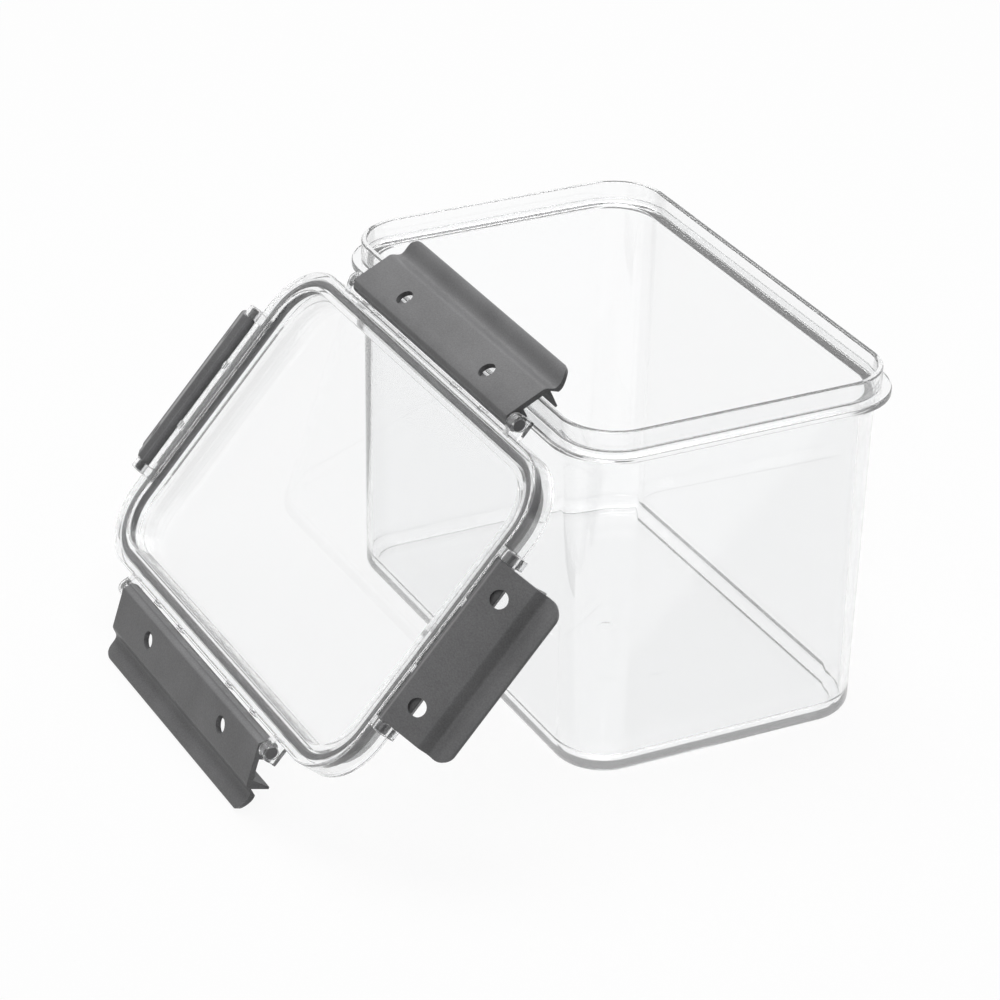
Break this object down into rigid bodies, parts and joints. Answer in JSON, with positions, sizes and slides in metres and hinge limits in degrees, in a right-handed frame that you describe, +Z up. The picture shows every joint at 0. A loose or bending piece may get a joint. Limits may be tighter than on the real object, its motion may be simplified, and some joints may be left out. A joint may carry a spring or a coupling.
{
  "type": "lidded storage canister",
  "caption": "Clear rectangular storage container with a rounded floor, flanged collar and a separate gasketed lid that clips on with hinged grey latches.",
  "frame": {"origin": "centre of the container's flat underside", "axes": "+Z up, +X along the container's long side, the lid leans against the -Y side"},
  "size_m": [0.1747, 0.1651, 0.0997],
  "materials": {
    "clear_container": "clear, polished",
    "clear_lid": "clear, polished",
    "gasket": "soft matt silicone",
    "latch_grey": "fine matt moulded"
  },
  "bodies": {
    "container": {"container_body": "clear_container"},
    "lid": {"lid": "clear_lid", "lid_gasket": "gasket"},
    "latch_rear": {"latch_rear": "latch_grey"},
    "latch_front": {"latch_front": "latch_grey"},
    "latch_left": {"latch_left": "latch_grey"},
    "latch_right": {"latch_right": "latch_grey"}
  },
  "joints": [
    {"name": "lid_lift", "type": "slide", "parent": "container", "child": "lid", "axis": [0, 0, 1], "range_m": [0, 0.2]},
    {"name": "latch_rear_hinge", "type": "hinge", "parent": "lid", "child": "latch_rear", "pos_m": [0.0003, -0.04922, 0.08959], "axis": [-1, 0, 0], "range_deg": [-52.5, 0]},
    {"name": "latch_front_hinge", "type": "hinge", "parent": "lid", "child": "latch_front", "pos_m": [0.0003, -0.11246, 0.01671], "axis": [1, 0, 0], "range_deg": [-54.3, 65.7]},
    {"name": "latch_left_hinge", "type": "hinge", "parent": "lid", "child": "latch_left", "pos_m": [-0.07115, -0.08084, 0.05315], "axis": [0, -0.6554, -0.7553], "range_deg": [-61, 59]},
    {"name": "latch_right_hinge", "type": "hinge", "parent": "lid", "child": "latch_right", "pos_m": [0.07175, -0.08084, 0.05315], "axis": [0, 0.6554, 0.7553], "range_deg": [-69, 51]}
  ]
}
